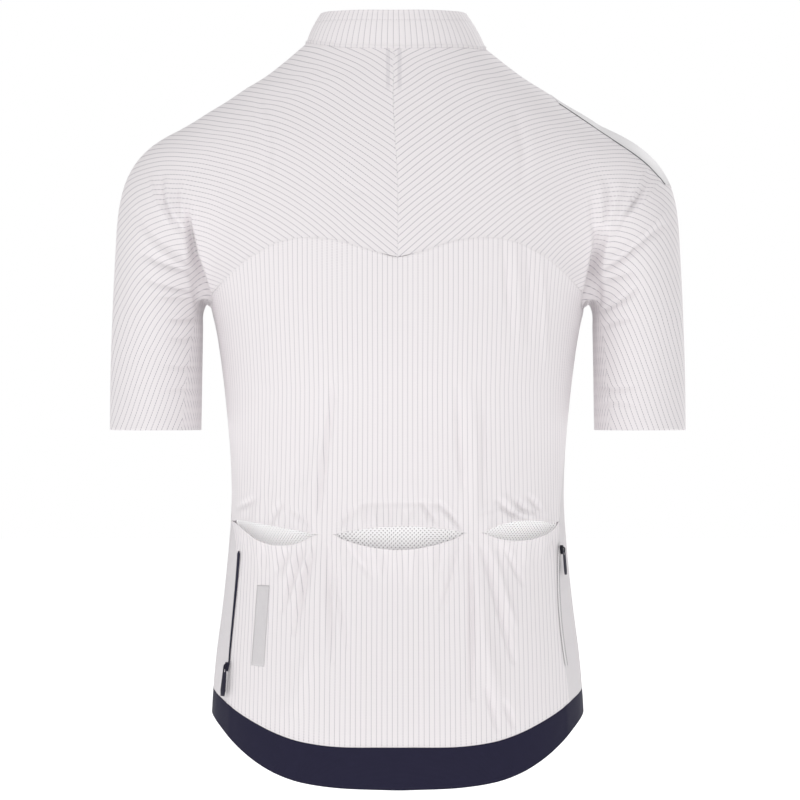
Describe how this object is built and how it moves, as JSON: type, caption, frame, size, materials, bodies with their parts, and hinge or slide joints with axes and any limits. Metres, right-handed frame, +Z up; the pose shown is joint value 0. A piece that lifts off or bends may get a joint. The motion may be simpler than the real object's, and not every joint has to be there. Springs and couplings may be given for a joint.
{
  "type": "cycling jersey",
  "caption": "Short-sleeved road cycling jersey with raglan-style sleeves, stand collar, full front zip, three rear pockets and two side zips.",
  "frame": {"origin": "between the neck points, at the height of the collar seam at the side of the neck", "axes": "+Z up the garment, +Y out of the wearer's back, +X to the wearer's left"},
  "size_m": [0.5422, 0.2324, 0.7179],
  "materials": {
    "back_panel": "striped warp knit",
    "pocket_panel": "striped warp knit",
    "front_left": "striped warp knit",
    "front_right": "striped warp knit",
    "yoke_sleeve_left": "striped warp knit",
    "yoke_sleeve_right": "striped warp knit",
    "collar": "striped warp knit",
    "side_left": "plain knit",
    "side_right": "plain knit",
    "hem_band": "elastic band, navy",
    "pocket_mesh_left": "open mesh knit",
    "pocket_mesh_centre": "open mesh knit",
    "pocket_mesh_right": "open mesh knit",
    "front_zip": "coil zip and tape",
    "side_zip_left": "coil zip",
    "side_zip_right": "concealed zip",
    "slider_front": "painted metal slider",
    "slider_right": "painted slider",
    "slider_left": "painted slider",
    "pull_front": "moulded tab",
    "pull_right": "moulded tab",
    "pull_left": "moulded tab",
    "shoulder_band": "heat-bonded band, bare",
    "piping": "thin cord",
    "reflective_patch": "reflective film, bare"
  },
  "bodies": {
    "jersey": {"back_panel": "back_panel", "pocket_panel": "pocket_panel", "front_left": "front_left", "front_right": "front_right", "yoke_sleeve_left": "yoke_sleeve_left", "yoke_sleeve_right": "yoke_sleeve_right", "collar": "collar", "side_left": "side_left", "side_right": "side_right", "hem_band": "hem_band", "pocket_mesh_left": "pocket_mesh_left", "pocket_mesh_centre": "pocket_mesh_centre", "pocket_mesh_right": "pocket_mesh_right", "front_zip": "front_zip", "side_zip_left": "side_zip_left", "side_zip_right": "side_zip_right", "slider_front": "slider_front", "slider_right": "slider_right", "slider_left": "slider_left", "shoulder_band": "shoulder_band", "piping": "piping", "reflective_patch": "reflective_patch"},
    "left_pull": {"pull_left": "pull_left"},
    "right_pull": {"pull_right": "pull_right"},
    "front_pull": {"pull_front": "pull_front"}
  },
  "joints": [
    {"name": "left_pull_hinge", "type": "hinge", "parent": "jersey", "child": "left_pull", "pos_m": [0.15976, 0.05296, -0.57969], "axis": [0.5872, -0.8095, 0], "range_deg": [0, 110]},
    {"name": "right_pull_hinge", "type": "hinge", "parent": "jersey", "child": "right_pull", "pos_m": [-0.15451, 0.03617, -0.47218], "axis": [0.4733, 0.8809, 0], "range_deg": [0, 110]},
    {"name": "front_pull_hinge", "type": "hinge", "parent": "jersey", "child": "front_pull", "pos_m": [0.00397, -0.07627, -0.05431], "axis": [-1, 0, 0], "range_deg": [0, 110]}
  ]
}
